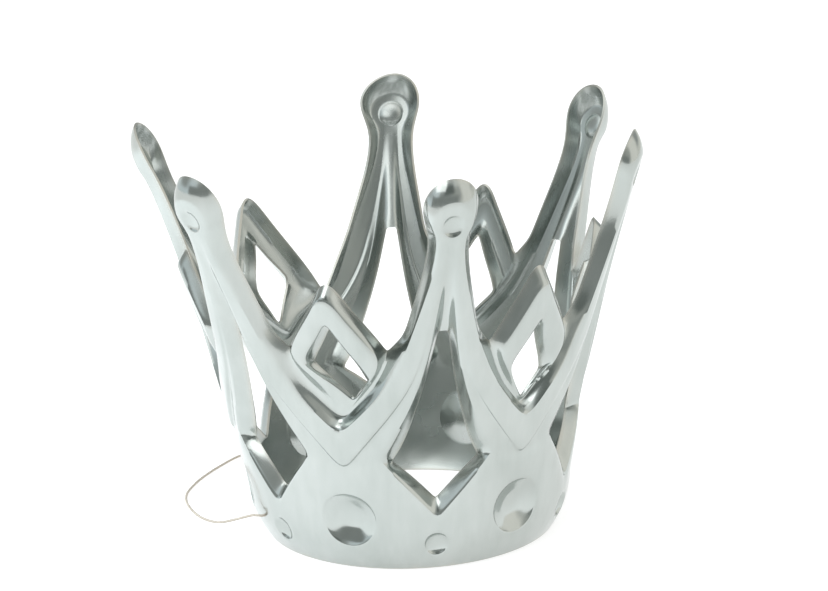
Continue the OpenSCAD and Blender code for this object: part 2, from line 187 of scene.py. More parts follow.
def tube_mesh(name, line, radius, sides=12):
    """A closed round tube, with U along it in metres and V once round it."""
    tangent = np.gradient(line, axis=0)
    tangent /= np.linalg.norm(tangent, axis=1)[:, None]
    aside = (0.3, 0.2, 1.0)
    normal = np.cross(tangent[0], aside)
    rings = []
    for centre, t in zip(line, tangent):
        normal = normal - t * normal.dot(t)
        normal /= np.linalg.norm(normal)
        other = np.cross(t, normal)
        turns = 2 * math.pi * np.arange(sides) / sides
        rings.append(centre + radius * (np.outer(np.cos(turns), normal)
                                        + np.outer(np.sin(turns), other)))
    bm = bmesh.new()
    uv = bm.loops.layers.uv.new("UVMap")
    verts = [[bm.verts.new(p) for p in ring] for ring in rings]
    along = np.concatenate([[0], np.cumsum(np.linalg.norm(np.diff(line, axis=0), axis=1))])
    for i in range(len(rings) - 1):
        for k in range(sides):
            n = (k + 1) % sides
            face = bm.faces.new((verts[i][k], verts[i][n], verts[i + 1][n], verts[i + 1][k]))
            face.smooth = True
            corners = ((i, k), (i, k + 1), (i + 1, k + 1), (i + 1, k))
            for loop, (row, turn_step) in zip(face.loops, corners):
                loop[uv].uv = (along[row], turn_step / sides)
    bm.faces.new(verts[0][::-1])
    bm.faces.new(verts[-1])
    bmesh.ops.recalc_face_normals(bm, faces=bm.faces)
    mesh = bpy.data.meshes.new(name)
    bm.to_mesh(mesh)
    bm.free()
    return mesh


elastic = link("elastic", tube_mesh("elastic", cord_line, elastic_d / 2 * MM))
print("tube:", len(elastic.data.polygons), "faces")

# %% [markdown]
# ## The knots
# Each end of the elastic is tied in an overhand knot that is too big for its
# hole. An overhand knot is a trefoil with its ends let go, so a trefoil pulled
# tight, with a short cut tail, is the right shape for so small a thing.

# %% Knots
knot_length = 2.6
knot_points = 73
trefoil_scale = (0.37, 0.62)
tail_length, tail_points = 3.2, 9
tail_in, tail_up = 0.75, -0.6


def knot_mesh(name, azimuth):
    """A tight trefoil behind the wall, with its axis along the hole's."""
    a = math.radians(azimuth)
    inward = np.array((-math.sin(a), math.cos(a), 0))
    flat = np.array((math.cos(a), math.sin(a), 0))
    tall = np.array((0, 0, 1.0))
    centre = out_of_axis(azimuth, knot_face_r - knot_length / 2, hole_z)
    t = np.linspace(0, 2 * math.pi, knot_points)
    wide, deep = (s * MM for s in trefoil_scale)
    loop = (centre + np.outer(wide * (np.sin(t) + 2 * np.sin(2 * t)), flat)
            + np.outer(wide * (np.cos(t) - 2 * np.cos(2 * t)), tall)
            + np.outer(deep * np.sin(3 * t), inward))
    tail = centre + np.outer(np.linspace(0, tail_length * MM, tail_points),
                             inward * tail_in + tall * tail_up)
    bm = bmesh.new()
    for part in (loop, tail):
        bm.from_mesh(tube_mesh(name + " part", part, elastic_d / 2 * MM))
    mesh = bpy.data.meshes.new(name)
    bm.to_mesh(mesh)
    bm.free()
    return mesh


knots = [link(f"elastic_{n}", knot_mesh(n, a))
         for n, a in zip(("knot_left", "knot_right"), hole_azimuths)]
for piece, node in zip([elastic, *knots], ("elastic_cord", "knot_left", "knot_right")):
    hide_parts(node)
    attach(piece, "root")
tuple(ends[0])
print("knots:", [len(knot.data.polygons) for knot in knots], "faces")

# %% [markdown]
# ## The mould's pattern
# One spike of the crown is the same on its left and right, so half of it is
# enough. Every point is given by its azimuth from the spike in degrees, its
# height in mm, and its relief: how far it stands out from the plain wall. Rows
# of such points are joined into quads, because quads subdivide smoothly. Some
# rows are folds, which are kept crisp by a crease. A small class keeps all this.


# %% Sheet of quads
class Sheet:
    """Points of azimuth, height and relief, with quads, creases and cut edges."""

    def __init__(self):
        self.points, self.faces, self.cut = [], [], set()
        self.folds, self.corners, self.shares = {}, {}, {}

    def row(self, points):
        """Adds points and returns their numbers."""
        self.points += [tuple(p) for p in points]
        return list(range(len(self.points) - len(points), len(self.points)))

    def face(self, *ids):
        """Adds a face without its repeated points, turned to look outwards."""
        ids = [i for k, i in enumerate(ids) if i != ids[k - 1]]
        area = sum(self.points[a][0] * self.points[b][1] - self.points[b][0] * self.points[a][1]
                   for a, b in zip(ids, ids[1:] + ids[:1]))
        self.faces.append(ids if area > 0 else ids[::-1])

    def strip(self, a, b):
        """Quads between two rows."""
        for i in range(len(a) - 1):
            self.face(a[i], a[i + 1], b[i + 1], b[i])

    def fan(self, ring, centre):
        """Triangles from a ring to its centre."""
        for a, b in zip(ring, ring[1:]):
            self.face(a, b, centre)

    def fold(self, row, crease):
        """Keeps the edges along a row crisp."""
        for a, b in zip(row, row[1:]):
            self.folds[frozenset((a, b))] = crease

    def corner(self, crease, *ids):
        """Keeps single points from being rounded away."""
        for i in ids:
            self.corners[i] = crease


sheet = Sheet()

# %% [markdown]
# ### Tables of the pattern
# The raised bands and the diamonds follow no formula, so each is a short table
# with a row for every step along it. A comment above each table names its
# columns, and the code below unpacks them under short forms of those names.

# %% Leg, sill and stem
half = 30
# azimuth and height of: kite's edge, brow, groove, outer edge, foot
leg = [
    (15.0, 45.0, 18.2, 47.0, 30.0, 41.0, 30.0, 57.7, 30.0, 61.0),
    (12.7, 49.0, 16.0, 51.5, 25.2, 48.2, 25.4, 62.8, 26.3, 66.0),
    (10.6, 54.0, 13.7, 56.5, 20.4, 55.4, 21.4, 68.2, 23.0, 71.0),
    (8.7, 60.0, 11.3, 62.0, 16.0, 62.4, 17.4, 73.7, 19.9, 77.0),
    (6.9, 67.0, 9.0, 68.5, 12.0, 69.7, 14.2, 80.0, 17.2, 83.5),
    (4.9, 75.5, 6.7, 76.5, 8.5, 77.5, 11.7, 86.8, 15.2, 90.5),
    (3.1, 86.0, 4.6, 86.5, 5.8, 87.5, 10.0, 92.8, 12.4, 94.4),
    (1.4, 98.0, 3.1, 98.0, 4.4, 98.0, 8.8, 98.0, 10.4, 98.0)]
# azimuth and height of: kite's lower edge, brow
sill = [(0, 28.8, 0, 22.2), (3.6, 33.0, 4.5, 28.3), (7.2, 37.2, 9.1, 34.5),
        (11.0, 41.2, 13.6, 40.8)]
# height, azimuth and relief of: flat, brow, groove, then azimuth of: outer edge, cut edge
stem = [
    (106, 1.0, 2.4, 2.4, 5.7, 3.4, 6.2, 7.0, 8.9),
    (114, 0.8, 4.3, 1.8, 5.9, 2.5, 6.3, 5.4, 7.4),
    (122, 0.6, 5.9, 1.3, 6.2, 1.9, 6.4, 3.9, 6.0),
    (134.8, 0.5, 6.4, 1.0, 6.4, 1.5, 6.4, 2.5, 4.7)]
kite_top_z, kite_top_h = 98, 0.6
brow_h, groove_h, crown_h, edge_h = relief - 0.3, relief - 1.0, relief + 0.4, relief + 0.2
foot_h = 0.5
groove_rows = 3
inner_share = 0.1
print("tables:", len(leg), "rows of the leg,", len(sill), "of the sill,", len(stem), "of the stem")

# %% Diamond
# azimuth and height of: outer edge, hole's edge, then shares of the way at brow and lip, relief
diamond = [
    (30.0, 61.0, 30.0, 66.0, 0.50, 0.84, 1.2),
    (26.3, 66.0, 28.1, 70.2, 0.52, 0.82, 1.5),
    (23.0, 71.0, 26.2, 74.2, 0.54, 0.80, 2.2),
    (19.9, 77.0, 24.4, 77.8, 0.50, 0.78, 3.5),
    (17.2, 83.5, 23.0, 81.2, 0.38, 0.72, 5.0),
    (15.2, 90.5, 22.8, 83.8, 0.30, 0.76, 5.6),
    (18.2, 96.8, 24.0, 86.8, 0.25, 0.78, 5.6),
    (22.2, 104.3, 26.0, 90.4, 0.25, 0.80, 5.6),
    (25.6, 111.0, 28.0, 94.6, 0.26, 0.82, 5.6),
    (27.6, 115.6, 29.2, 97.4, 0.27, 0.84, 5.6),
    (30.0, 117.9, 30.0, 98.6, 0.28, 0.85, 5.6)]
notch = 5
# How much of the notch's shift each row of the diamond and of the leg takes
notch_shares = (0, 0, 0.15, 0.4, 0.7, 1, 0.72, 0.45, 0.2, 0.05, 0)
leg_shares = (0, 0, 0.15, 0.4, 0.7, 1, 0.45, 0)
leg_edge_share = 0.5
# How much of the hole's shift, and of the notch's, the brow, the lip and the edge take
follow = ((0.5, 0.7), (0.9, 0.4), (1, 0))
print("diamond:", len(diamond), "rows, the notch at height", diamond[notch][1])

# %% Leg, sill and stem as rows of points
legs = []
for k, (ka, kz, ba, bz, ga, gz, ea, ez, fa, fz) in enumerate(leg):
    last = k == len(leg) - 1
    groove = mix(groove_h, crown_h, max(0, k - groove_rows) / (len(leg) - groove_rows))
    legs.append(sheet.row([
        (ka, kz, kite_top_h if last else 0), (ba, bz, brow_h), (ga, gz, groove),
        (mix(ga, ea, inner_share), mix(gz, ez, inner_share), crown_h), (ea, ez, edge_h),
        (fa, fz, foot_h if k < notch else 0)]))
leg_columns = list(map(list, zip(*legs)))
for a, b in zip(leg_columns, leg_columns[1:]):
    sheet.strip(a, b)

sill_cut = sheet.row([(a, z, 0) for a, z, _, _ in sill]) + [legs[0][0]]
sill_brow = sheet.row([(a, z, brow_h) for _, _, a, z in sill]) + [legs[0][1]]
sheet.strip(sill_cut, sill_brow)

stems = [sheet.row([(0, kite_top_z, kite_top_h)]) + legs[-1]]
for z, fa, fh, ba, bh, ga, gh, ea, ca in stem:
    stems.append(sheet.row([(0, z, fh), (fa, z, fh), (ba, z, bh), (ga, z, gh),
                            (mix(ga, ea, inner_share), z, crown_h), (ea, z, edge_h), (ca, z, 0)]))
for a, b in zip(stems, stems[1:]):
    sheet.strip(a, b)
print("legs and stem:", len(sheet.points), "points")

# %% [markdown]
# ### The round end
# The spike ends in a round dome with a flat face, and a dimple is pressed into
# the face. Its rings run over the top only, and their lower halves are the rows
# of the stem. A ring of control points that is subdivided shrinks a little, so
# the rings that show as edges are drawn larger by what they will lose.

# %% Round end
ring_swell, cut_swell = 1.03, 1.04
ball_r, ball_z, ball_face_r, ball_face_z = 11.2, 147, 7.6, 141.8
side_rise, side_in, side_h = 0.45, 0.3, edge_h * 0.6
eye_r, eye_z, eye_d = 4.4, 141.3, 1.6
rim_rays = (0, 27, 54, 81, 108)
eye_rays = (0, 27, 54, 81, 108, 125, 137, 148, 158, 169, 180)
eye_profile, eye_bottom = ((ring_swell, 0), (0.68, 0.8)), 1.08


def polar(az, z, r, ray, h):
    """A point at a distance and a direction, in degrees from up, from a centre."""
    height = z + r * math.cos(math.radians(ray))
    return (az + to_az(r * math.sin(math.radians(ray)), z), height, h)


def upper_ring(z, r, h):
    """A ring round the top of the round end, as points of the sheet."""
    return sheet.row([polar(0, z, r, ray, h) for ray in rim_rays])


ball_cut = upper_ring(ball_z, ball_r * cut_swell, 0) + [stems[-1][6]]
ball_side = upper_ring(mix(ball_z, ball_face_z, side_rise), mix(ball_r, ball_face_r, side_in),
                       side_h)
ball_brow = upper_ring(ball_face_z, ball_face_r * ring_swell, edge_h)
eye_outer = ball_brow + stems[-1][5::-1]
ball_brow = ball_brow + [stems[-1][5]]
sheet.strip(ball_cut[:-1], ball_side)
sheet.strip(ball_side, ball_brow[:-1])
sheet.face(ball_cut[-2], ball_cut[-1], ball_brow[-1], ball_brow[-2], ball_side[-1])
eye_rings = [sheet.row([polar(0, eye_z, eye_r * share, ray, crown_h - eye_d * sink)
                        for ray in eye_rays])
             for share, sink in eye_profile]
sheet.strip(eye_outer, eye_rings[0])
sheet.strip(*eye_rings)
sheet.fan(eye_rings[-1], sheet.row([(0, eye_z, crown_h - eye_d * eye_bottom)])[0])
print("with the round end:", len(sheet.points), "points")

# %% [markdown]
# ### The diamond
# Between two spikes stands a diamond with a hole. Its face slopes from a brow
# to a lip that is rolled into the hole. The holes of the real crown were
# punched askew, so each point also notes how far it follows when the foot, the
# side or the tip of its hole moves, and when the notch beside the leg does.

# %% Frame and hole of the diamond
tips = sheet.row([(r[0], r[1], 0) for r in diamond[notch + 1:]])
diamond_outer = leg_columns[5][:notch + 1] + tips
for column, factor in ((leg_columns[4], leg_edge_share), (leg_columns[5], 1)):
    for i, share in zip(column, leg_shares):
        sheet.shares[i] = (0, 0, 0, share * factor)
for i, share in zip(tips, notch_shares[notch + 1:]):
    sheet.shares[i] = (0, 0, 0, share)
brows, lips, holes = [], [], []
for k, (oa, oz, ha, hz, brow, lip, h) in enumerate(diamond):
    ids = sheet.row([(mix(oa, ha, brow), mix(oz, hz, brow), h),
                     (mix(oa, ha, lip), mix(oz, hz, lip), h), (ha, hz, 0)])
    up = k / notch - 1
    for column, i, (hole_share, notch_share) in zip((brows, lips, holes), ids, follow):
        column.append(i)
        sheet.shares[i] = (max(0, -up) * hole_share, (1 - abs(up)) * hole_share,
                           max(0, up) * hole_share, notch_shares[k] * notch_share)
sheet.strip(diamond_outer, brows)
sheet.strip(brows, lips)
sheet.strip(lips, holes)
print("with the diamond:", len(sheet.points), "points")

# %% [markdown]
# ### The dimple, the rim and the dish
# The band has no rows of its own. Its ribs run like spokes from the big round
# dish to whatever edges it, which is the V groove, the kite's sill, the small
# dimple and the rim.

# %% Dimple and rim
dimple_r, dimple_z, dimple_d = 5.3, 11.3, 2.3
dimple_rays = range(0, 181, 45)
dimple_profile, dimple_bottom = ((ring_swell, 0), (0.84, 0.5), (0.45, 0.95)), 1.08
# azimuth and height of the points between the dimple and the rim
below_dimple = ((6.1, 5.6), (3.2, 3), (0, 3), (3.5, 0), (0, 0))
rim_azimuths = (7, 12.5, 18, 24, 30)


def dimple_row(share, sink):
    """A ring of the dimple, at a share of its radius and of its depth."""
    ring = [polar(0, dimple_z, dimple_r * share, ray, 0) for ray in dimple_rays]
    return sheet.row([(a, z, band_h(z) - dimple_d * sink) for a, z, _ in ring])


dimple_rings = [dimple_row(share, sink) for share, sink in dimple_profile]
for a, b in zip(dimple_rings, dimple_rings[1:]):
    sheet.strip(a, b)
sheet.fan(dimple_rings[-1],
          sheet.row([(0, dimple_z, band_h(dimple_z) - dimple_d * dimple_bottom)])[0])

low = sheet.row([(a, z, band_h(z)) for a, z in below_dimple])
rim = sheet.row([(a, 0, band_h(0)) for a in rim_azimuths])
sheet.strip(dimple_rings[0][2:], low[:3])
sheet.strip(low[:3], [rim[0], low[3], low[4]])
print("with the dimple and the rim:", len(sheet.points), "points")

# %% Dish and band
dish_r, dish_z, dish_d = 11.2, 21.5, 4.3
dish_profile, dish_bottom = ((0.94, 0.18), (0.66, 0.56), (0.36, 0.95)), 1.04
fan_shares = (0.0, 0.42, 0.82)
ridge_h, ridge_ribs = 0.15, range(1, 7)
evenness = 0.4
# Where the ribs of the band end, from the V groove down to the rim
fan_ends = [legs[0][2], legs[0][1], *sill_brow[3::-1], *dimple_rings[0][:3], low[0], *rim]
last_rib = len(fan_ends) - 1


def dish_point(rib, share, lift):
    """A point of a ring of the big dish, on the rib's own side of it."""
    a, z, _ = sheet.points[fan_ends[rib]]
    own = math.degrees(math.atan2((half - a) / to_az(1, dish_z), z - dish_z))
    even = 180 * rib / last_rib
    ray = even if rib in (0, last_rib) else mix(own, even, evenness)
    back = math.radians(ray)
    height = dish_z + dish_r * share * math.cos(back)
    return (half - to_az(dish_r * share * math.sin(back), dish_z), height, band_h(height) + lift)


def fan_row(share):
    """A row of the band, a share of the way from the dish's edge to the ribs' ends."""
    row = []
    for rib, end in enumerate(fan_ends):
        start = dish_point(rib, 1, 0)
        a, z = (mix(start[i], sheet.points[end][i], share) for i in (0, 1))
        ridge = ridge_h if share == fan_shares[-1] and rib in ridge_ribs else 0
        row.append((a, z, band_h(z) + ridge))
    return sheet.row(row)


fan_rows = [fan_row(share) for share in fan_shares]
for a, b in zip(fan_rows, fan_rows[1:] + [fan_ends]):
    sheet.strip(a, b)
dish_rows = [fan_rows[0]] + [
    sheet.row([dish_point(rib, share, -dish_d * sink) for rib in range(last_rib + 1)])
    for share, sink in dish_profile]
for a, b in zip(dish_rows, dish_rows[1:]):
    sheet.strip(a, b)
sheet.fan(dish_rows[-1], sheet.row([(half, dish_z, relief - dish_d * dish_bottom)])[0])
print("half sector:", len(sheet.points), "points,", len(sheet.faces), "faces")

# %% [markdown]
# ### Folds, corners and cut edges
# A drawn sheet has soft bends and crisp ones. A crease between 0 and 1 says how
# crisp each row stays when the sheet is smoothed. The cut edges are noted too,
# because the silver is thin there and the finish will ask for them.

# %% Folds that stay crisp
sharp_corner, soft_corner = 0.8, 0.4
for row, crease in (
        (sill_brow, 0.6), (leg_columns[1], 0.5), (leg_columns[2], 0.7), (leg_columns[3], 0.5),
        (leg_columns[4], 0.6), (brows, 0.4), (lips, 0.4), (fan_rows[0], 0.85),
        (dimple_rings[0], 0.7), (eye_rings[0], 0.6), (ball_brow, 0.7),
        ([row[2] for row in stems], 0.3), ([row[5] for row in stems], 0.7)):
    sheet.fold(row, crease)
sheet.corner(sharp_corner, legs[0][0], sill_cut[0], stems[0][1], holes[0], legs[notch][5],
             holes[notch])
sheet.corner(soft_corner, holes[-1], sill_brow[0])
sheet.cut = set(sill_cut + leg_columns[0] + ball_cut + holes + tips + rim + low[3:5]
                + [row[6] for row in stems] + leg_columns[5][notch:])
print("folds:", len(sheet.folds), "edges, cut:", len(sheet.cut), "points")

# %% [markdown]
# ## Node trees written as sums
# Both the shape and the finishes need arithmetic on node sockets. A small class
# wraps a socket so that Python's own operators add the Math nodes, and one
# method makes every other node.


# %% Helpers for node trees
class Value:
    """A node's output that + - * / and ** work on."""

    def __init__(self, net, socket):
        self.net, self.socket = net, socket

    def math(self, operation, *others):
        """One Math node, with this value as its first term."""
        return self.net.math(operation, self, *others)

    def __add__(self, other):
        return self.math("ADD", other)

    def __sub__(self, other):
        return self.math("SUBTRACT", other)

    def __rsub__(self, other):
        return self.net.math("SUBTRACT", other, self)

    def __mul__(self, other):
        return self.math("MULTIPLY", other)

    def __truediv__(self, other):
        return self.math("DIVIDE", other)

    def __pow__(self, other):
        return self.math("POWER", other)

    __radd__, __rmul__ = __add__, __mul__


class Outputs:
    """A made node, whose outputs are read by name or number."""

    def __init__(self, net, made):
        self.net, self.made = net, made

    def __getitem__(self, key):
        return Value(self.net, self.made.outputs[key])


class Net:
    """A node tree that is built by calls."""

    def __init__(self, tree):
        self.tree = tree

    def node(self, kind, settings=None, inputs=None):
        """Makes a node, sets it up, feeds its sockets and returns its outputs."""
        made = self.tree.nodes.new(kind)
        for name, value in (settings or {}).items():
            setattr(made, name, value)
        for name, value in (inputs or {}).items():
            if isinstance(value, Value):
                self.tree.links.new(value.socket, made.inputs[name])
            else:
                made.inputs[name].default_value = value
        return Outputs(self, made)

    def math(self, operation, *terms):
        """The result of one Math node."""
        return self.node("ShaderNodeMath", {"operation": operation}, dict(enumerate(terms)))[0]

    def colour_mix(self, share, first, second):
        """A blend of two colours. The Mix node numbers them 6 and 7, and the blend 2."""
        return self.node("ShaderNodeMix", {"data_type": "RGBA"},
                         {0: share, 6: first, 7: second})[2]

    def vector_mix(self, share, first, second):
        """A blend of two vectors. The Mix node numbers them 4 and 5, and the blend 1."""
        return self.node("ShaderNodeMix", {"data_type": "VECTOR"},
                         {0: share, 4: first, 5: second})[1]

    def axes(self, vector):
        """The X, Y and Z of a vector."""
        return self.node("ShaderNodeSeparateXYZ", {}, {"Vector": vector})


def emptied(block):
    """The node tree of a material or a world, with its starting nodes taken out."""
    block.use_nodes = True
    block.node_tree.nodes.clear()
    return Net(block.node_tree)


# %% [markdown]
# ## Rolling the pattern into a crown
# The half sector is mirrored, repeated six times along the azimuth and rolled
# round the axis, and that is a rule, so Geometry Nodes do it. The thin spikes
# of the real crown have relaxed since it left the mould, each by its own
# amount. A small mesh with a point for each spike and diamond holds those
# leans, and the tree reads it and blends from one to the next. A second such
# mesh holds how far each diamond's hole was punched askew.

# %% Pattern and tables as meshes
# outwards and sideways in mm at the lean height, for each diamond and spike in turn
leans = [(6.5, 13.5), (4.5, 15.5), (0.5, 7), (5.5, 9.5), (-4.5, 2.5), (-5.5, 5.5),
         (-9.5, 4.5), (-8, 14), (-10.5, 0), (5.5, 2), (-4, -7.5), (5, -13.5)]
first_lean_azimuth = -150
# for each diamond from the right of the front spike on, azimuth and height of the shift of:
# foot, left side, right side, tip, left notch, right notch
askew = [
    [(0.8, -1.5), (1.1, -4.8), (0, -9), (1.9, -5.4), (0, 0), (0, 0)],
    [(-1, 1), (-0.5, 1), (-1, -1.5), (-0.6, 0.5), (0, -1), (0, 0)],
    [(0.5, -1), (-0.6, -8), (0.3, -2), (0, -2), (0, 0), (0, -1)],
    [(3.5, 1), (3.3, 0.4), (0.4, 0), (2.7, 0.4), (2, -15), (0, 0)],
    [(1, -1), (0.8, -2), (1, 1), (0.5, -1), (0, 0), (0, -1)],
    [(4.5, 5), (0.1, 1.8), (1.2, -4.5), (-0.4, 1.1), (0, 0), (0, 0)]]

pattern_mesh = bpy.data.meshes.new("pattern")
pattern_mesh.from_pydata([(math.radians(a), h * MM, z * MM) for a, z, h in sheet.points], [],
                         sheet.faces)
fold = pattern_mesh.attributes.new("fold", "FLOAT", "EDGE")
for edge in pattern_mesh.edges:
    fold.data[edge.index].value = sheet.folds.get(frozenset(edge.vertices), 0)
corner = pattern_mesh.attributes.new("corner", "FLOAT", "POINT")
cut = pattern_mesh.attributes.new("cut", "FLOAT", "POINT")
for i in range(len(sheet.points)):
    corner.data[i].value = sheet.corners.get(i, 0)
    cut.data[i].value = float(i in sheet.cut)

for column, name in enumerate(("foot", "side", "tip", "notch")):
    shares = pattern_mesh.attributes.new(name, "FLOAT", "POINT")
    for i, values in sheet.shares.items():
        shares.data[i].value = values[column]
pattern = link("pattern", pattern_mesh)


def table_of(name, rows):
    """A mesh that only carries a table, one point for each row."""
    mesh = bpy.data.meshes.new(name)
    mesh.from_pydata(rows, [], [])
    return link(name, mesh)


lean_points = table_of("leans", [(out * MM, side * MM, 0) for out, side in leans])
shift_points = table_of("shifts", [(math.radians(a), 0, z * MM) for row in askew for a, z in row])
print("leans:", len(leans), "rows, shifts:", len(askew), "rows")

# %% Tree, its inputs and the six copies
sector = math.radians(2 * half)
tree = bpy.data.node_groups.new("roll up", "GeometryNodeTree")
sockets = {}
for name, kind in (
        ("Geometry", "Geometry"), ("Spikes", "Int"), ("Base radius", "Float"),
        ("Flare", "Float"), ("Curl", "Float"), ("Leans", "Object"), ("Shifts", "Object"),
        ("Lean height", "Float"), ("Lean power", "Float"), ("Axis", "Vector"),
        ("Smoothness", "Int"), ("Finish", "Material")):
    sockets[name] = tree.interface.new_socket(name, in_out="INPUT",
                                              socket_type="NodeSocket" + kind)
tree.interface.new_socket("Geometry", in_out="OUTPUT", socket_type="NodeSocketGeometry")
net = Net(tree)
given = net.node("NodeGroupInput")

mirrored = net.node("GeometryNodeTransform", {}, {"Geometry": given["Geometry"],
                                                  "Scale": (-1, 1, 1)})["Geometry"]
flipped = net.node("GeometryNodeFlipFaces", {}, {"Mesh": mirrored})["Mesh"]
joined = net.node("GeometryNodeJoinGeometry")
for part in (given["Geometry"], flipped):
    tree.links.new(part.socket, joined.made.inputs["Geometry"])
places = net.node("GeometryNodeMeshLine", {"mode": "OFFSET"},
                  {"Count": given["Spikes"], "Offset": (sector, 0, 0)})["Mesh"]
copies = net.node("GeometryNodeInstanceOnPoints", {},
                  {"Points": places, "Instance": joined["Geometry"]})["Instances"]
flat = net.node("GeometryNodeRealizeInstances", {}, {"Geometry": copies})["Geometry"]
print("inputs:", list(sockets))

# %% [markdown]
# ### Shifts of the holes
# The azimuth of a point tells which two spikes it lies between, and whether it
# is left or right of the diamond there. With that the tree picks the shift from
# the table, and the point's own shares say how much of it to take.

# %% Shifts of the holes
here = net.node("GeometryNodeInputPosition")["Position"]
place = net.axes(here)
stand = place["Y"]


def named(attribute):
    """Reads a float attribute of the pattern."""
    return net.node("GeometryNodeInputNamedAttribute", {"data_type": "FLOAT"},
                    {"Name": attribute})["Attribute"]


def row_of(table, number, length):
    """Reads one row of a table mesh, and starts again after the last."""
    points = net.node("GeometryNodeObjectInfo", {}, {"Object": table})["Geometry"]
    return net.node("GeometryNodeSampleIndex", {"data_type": "FLOAT_VECTOR"}, {
        "Geometry": points, "Value": here,
        "Index": number.math("FLOORED_MODULO", length)})["Value"]


turned = place["X"] / sector
spike = turned.math("FLOOR")
on_right = (turned - spike).math("GREATER_THAN", 0.5)
azimuth, height = place["X"], place["Z"]
shift_columns = len(askew[0])
for name, entry in (("foot", 0), ("side", 1 + on_right), ("tip", 3), ("notch", 4 + on_right)):
    shift = net.axes(row_of(given["Shifts"], spike * shift_columns + entry,
                            given["Spikes"] * shift_columns))
    azimuth = azimuth + shift["X"] * named(name)
    height = height + shift["Z"] * named(name)
print("with the shifts:", len(tree.nodes), "nodes")

# %% [markdown]
# ### Leans, rolling and smoothing
# A lean grows with height, so the band stays round while the tips move. Between
# a spike and its neighbour it is blended by half a cosine wave, because the
# sheet between them has no step. The copies are welded before they are
# smoothed, or the seams between them would open.

# %% Leans, rolling and smoothing
weld_mm = 0.01
step = (azimuth - math.radians(first_lean_azimuth)) / (sector / 2)
before = step.math("FLOOR")
share = 0.5 - 0.5 * ((step - before) * math.pi).math("COSINE")
count = given["Spikes"] * 2
lean = net.axes(net.vector_mix(share, row_of(given["Leans"], before, count),
                               row_of(given["Leans"], before + 1, count)))
growth = (height / given["Lean height"]).math("MAXIMUM", 0) ** given["Lean power"]
radius = (given["Base radius"] + given["Flare"] * height + given["Curl"] * height * height
          + stand + lean["X"] * growth)
sideways = lean["Y"] * growth
sine, cosine = azimuth.math("SINE"), azimuth.math("COSINE")
rolled_place = net.node("ShaderNodeCombineXYZ", {}, {
    "X": radius * sine + sideways * cosine, "Y": sideways * sine - radius * cosine,
    "Z": height})["Vector"]
rolled = net.node("GeometryNodeSetPosition", {}, {
    "Geometry": flat, "Position": rolled_place, "Offset": given["Axis"]})["Geometry"]
welded = net.node("GeometryNodeMergeByDistance", {},
                  {"Geometry": rolled, "Distance": weld_mm * MM})["Geometry"]
smooth = net.node("GeometryNodeSubdivisionSurface", {"boundary_smooth": "ALL"}, {
    "Mesh": welded, "Level": given["Smoothness"], "Edge Crease": named("fold"),
    "Vertex Crease": named("corner")})["Mesh"]
whole = net.node("GeometryNodeRealizeInstances", {}, {"Geometry": smooth})["Geometry"]
finished = net.node("GeometryNodeSetMaterial", {},
                    {"Geometry": whole, "Material": given["Finish"]})["Geometry"]
net.node("NodeGroupOutput", {}, {"Geometry": finished})
print("tree:", len(tree.nodes), "nodes")

# %% [markdown]
# ## The silver finish
# Metallised plastic is a mirror that is not quite flat. The coating follows
# the orange-peel skin of the moulding, so its reflections wobble, and it is
# thinnest at the trimmed edges, where a warmer grey shows through. On the
# inside it is duller than on the outside, which lay against the mould.

# %% Silver finish
silver = bpy.data.materials.new("silvered plastic")
shade = emptied(silver)
spot = shade.node("ShaderNodeTexCoord")["Object"]
thin_silver, full_silver = (0.44, 0.475, 0.455, 1), (0.535, 0.568, 0.55, 1)
bare_edge = (0.60, 0.56, 0.48, 1)
cloud_share, patch_contrast, wear_shown = 0.65, 2.4, 0.8
streak_draw = (1, 1, 0.22)
peel_share, wobble_strength, wobble_mm = 0.12, 0.25, 0.5
smoothest, cloud_rough, worn_rough, inside_rough = 0.12, 0.06, 0.2, 0.12


def noise(net, place, scale, detail, rough=0.5):
    """Seamless noise at a place in the object's own space."""
    return net.node("ShaderNodeTexNoise", {}, {
        "Vector": place, "Scale": scale, "Detail": detail, "Roughness": rough})["Fac"]


def painted(name):
    """An attribute of the piece's mesh."""
    return shade.node("ShaderNodeAttribute", {"attribute_name": name})["Fac"]


drawn = shade.node("ShaderNodeMapping", {}, {"Vector": spot, "Scale": streak_draw})[0]
cloud = noise(shade, spot, scale=32, detail=3)
streak = noise(shade, drawn, scale=190, detail=3, rough=0.6)
peel = noise(shade, spot, scale=420, detail=3)
wave = noise(shade, spot, scale=60, detail=1)
worn = painted("cut") ** 6 * noise(shade, spot, scale=160, detail=3)
clouded = cloud * cloud_share + streak * (1 - cloud_share)
patch = ((clouded - 0.5) * patch_contrast + 0.5).math("MAXIMUM", 0).math("MINIMUM", 1)
clean = shade.colour_mix(patch, thin_silver, full_silver)
tinted = shade.colour_mix(worn * wear_shown, clean, bare_edge)
bumps = shade.node("ShaderNodeBump", {}, {
    "Strength": wobble_strength, "Distance": wobble_mm * MM,
    "Height": wave + peel * peel_share})["Normal"]
surface = shade.node("ShaderNodeBsdfPrincipled", {}, {
    "Base Color": tinted, "Metallic": 1.0, "Normal": bumps,
    "Roughness": (smoothest + cloud * cloud_rough + worn * worn_rough
                  + painted("inside") * inside_rough)})[0]
shade.node("ShaderNodeOutputMaterial", {}, {"Surface": surface})
print("silver:", len(silver.node_tree.nodes), "nodes")

# %% [markdown]
# ## From rolled pattern to a wall
# The tree gives a skin with no thickness. Solidify gives it the plastic's own,
# inwards, because the pattern is that of the outside. Two small cylinders then
# punch the holes for the elastic. The result is baked to a plain mesh, and the
# pattern and its tables are thrown away.

# %% Wall and holes
lean_height, lean_power = 150, 1.3
hole_d, punch_length, punch_sides = 1.6, 12, 24
roll_up = pattern.modifiers.new("roll up", "NODES")
roll_up.node_group = tree
